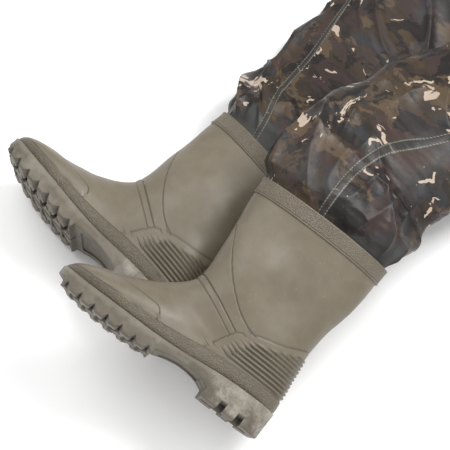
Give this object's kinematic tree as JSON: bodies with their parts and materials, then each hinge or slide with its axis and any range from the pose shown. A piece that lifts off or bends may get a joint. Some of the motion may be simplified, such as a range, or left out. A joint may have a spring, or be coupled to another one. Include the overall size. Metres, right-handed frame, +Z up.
{
  "type": "chest waders",
  "caption": "Chest waders lying on their back: coated cloth legs and bib welded to moulded boots, with clip-on elastic braces and a waist belt.",
  "frame": {"origin": "middle of the footprint, on the ground", "axes": "+Y from the boots to the braces, +X to the wearer's left, +Z up off the ground, away from the wearer's back"},
  "size_m": [0.625, 1.7006, 0.1845],
  "materials": {
    "boot_pvc": "matte moulded PVC, olive grey, fine grain and ribs",
    "sole_pvc": "moulded PVC outsole, scuffed",
    "insole_foam": "knitted cover over foam",
    "camo_cloth": "PVC coated nylon with a dark woodland camouflage print",
    "webbing": "woven elastic and polypropylene webbing",
    "buckle_plastic": "black acetal",
    "ring_steel": "nickel plated wire",
    "hook_loop": "hook and loop tape"
  },
  "bodies": {
    "waders": {"left_boot_upper": "boot_pvc", "left_boot_cuff": "boot_pvc", "left_outsole": "sole_pvc", "left_insole": "insole_foam", "left_leg": "camo_cloth", "left_brace": "webbing", "left_brace_patch": "boot_pvc", "left_belt_loop": "webbing", "right_boot_upper": "boot_pvc", "right_boot_cuff": "boot_pvc", "right_outsole": "sole_pvc", "right_insole": "insole_foam", "right_leg": "camo_cloth", "right_brace": "webbing", "right_brace_patch": "boot_pvc", "right_belt_loop": "webbing", "left_brace_buckle_socket": "buckle_plastic", "left_brace_socket_fold": "webbing", "right_brace_buckle_socket": "buckle_plastic", "right_brace_socket_fold": "webbing", "belt_buckle_socket": "buckle_plastic", "belt_socket_fold": "webbing", "front_panel": "camo_cloth", "back_panel": "camo_cloth", "waist_belt": "webbing", "chest_pocket": "camo_cloth", "pocket_loop_patch": "hook_loop", "dee_tab": "webbing", "cross_patch": "boot_pvc", "bib_hem": "camo_cloth", "back_hem": "camo_cloth"},
    "left_brace_tongue": {"left_brace_buckle_tongue": "buckle_plastic", "left_brace_tongue_loop": "webbing"},
    "left_brace_prong_a": {"left_brace_buckle_prong_a": "buckle_plastic"},
    "left_brace_prong_b": {"left_brace_buckle_prong_b": "buckle_plastic"},
    "right_brace_tongue": {"right_brace_buckle_tongue": "buckle_plastic", "right_brace_tongue_loop": "webbing"},
    "right_brace_prong_a": {"right_brace_buckle_prong_a": "buckle_plastic"},
    "right_brace_prong_b": {"right_brace_buckle_prong_b": "buckle_plastic"},
    "belt_tongue": {"belt_buckle_tongue": "buckle_plastic", "belt_tongue_loop": "webbing"},
    "belt_prong_a": {"belt_buckle_prong_a": "buckle_plastic"},
    "belt_prong_b": {"belt_buckle_prong_b": "buckle_plastic"},
    "left_adjuster": {"left_brace_adjuster": "buckle_plastic", "left_adjuster_fold": "webbing"},
    "right_adjuster": {"right_brace_adjuster": "buckle_plastic", "right_adjuster_fold": "webbing"},
    "flap": {"pocket_flap": "camo_cloth", "flap_hook_patch": "hook_loop"},
    "ring": {"dee_ring": "ring_steel"}
  },
  "joints": [
    {"name": "left_brace_buckle_release", "type": "slide", "parent": "waders", "child": "left_brace_tongue", "axis": [0, 1, 0], "range_m": [0, 0.024]},
    {"name": "left_brace_prong_a_squeeze", "type": "hinge", "parent": "left_brace_tongue", "child": "left_brace_prong_a", "pos_m": [0.1104, 0.5575, 0.0574], "axis": [0, 0, 1], "range_deg": [0, 8], "stiffness_Nm_per_rad": 0.02},
    {"name": "left_brace_prong_b_squeeze", "type": "hinge", "parent": "left_brace_tongue", "child": "left_brace_prong_b", "pos_m": [0.1404, 0.5575, 0.0574], "axis": [0, 0, 1], "range_deg": [-8, 0], "stiffness_Nm_per_rad": 0.02},
    {"name": "right_brace_buckle_release", "type": "slide", "parent": "waders", "child": "right_brace_tongue", "axis": [0, 1, 0], "range_m": [0, 0.024]},
    {"name": "right_brace_prong_a_squeeze", "type": "hinge", "parent": "right_brace_tongue", "child": "right_brace_prong_a", "pos_m": [-0.0996, 0.5575, 0.0574], "axis": [0, 0, 1], "range_deg": [0, 8], "stiffness_Nm_per_rad": 0.02},
    {"name": "right_brace_prong_b_squeeze", "type": "hinge", "parent": "right_brace_tongue", "child": "right_brace_prong_b", "pos_m": [-0.0696, 0.5575, 0.0574], "axis": [0, 0, 1], "range_deg": [-8, 0], "stiffness_Nm_per_rad": 0.02},
    {"name": "belt_buckle_release", "type": "slide", "parent": "waders", "child": "belt_tongue", "axis": [1, 0, 0], "range_m": [0, 0.024]},
    {"name": "belt_prong_a_squeeze", "type": "hinge", "parent": "belt_tongue", "child": "belt_prong_a", "pos_m": [0.0604, 0.2845, 0.0724], "axis": [0, 0, 1], "range_deg": [0, 8], "stiffness_Nm_per_rad": 0.02},
    {"name": "belt_prong_b_squeeze", "type": "hinge", "parent": "belt_tongue", "child": "belt_prong_b", "pos_m": [0.0604, 0.2545, 0.0724], "axis": [0, 0, 1], "range_deg": [-8, 0], "stiffness_Nm_per_rad": 0.02},
    {"name": "left_brace_adjust", "type": "slide", "parent": "waders", "child": "left_adjuster", "axis": [0, 1, 0], "range_m": [0, 0.04]},
    {"name": "right_brace_adjust", "type": "slide", "parent": "waders", "child": "right_adjuster", "axis": [0, 1, 0], "range_m": [0, 0.04]},
    {"name": "pocket_flap_open", "type": "hinge", "parent": "waders", "child": "flap", "pos_m": [0.0204, 0.5045, 0.0585], "axis": [-1, 0, 0], "range_deg": [0, 140]},
    {"name": "dee_ring_swing", "type": "hinge", "parent": "waders", "child": "ring", "pos_m": [-0.1546, 0.416, 0.0608], "axis": [-1, 0, 0], "range_deg": [0, 120]}
  ],
  "couplings": [
    {"joint": "left_brace_prong_b_squeeze", "follows": "left_brace_prong_a_squeeze", "ratio": -1},
    {"joint": "right_brace_prong_b_squeeze", "follows": "right_brace_prong_a_squeeze", "ratio": -1},
    {"joint": "belt_prong_b_squeeze", "follows": "belt_prong_a_squeeze", "ratio": -1}
  ]
}
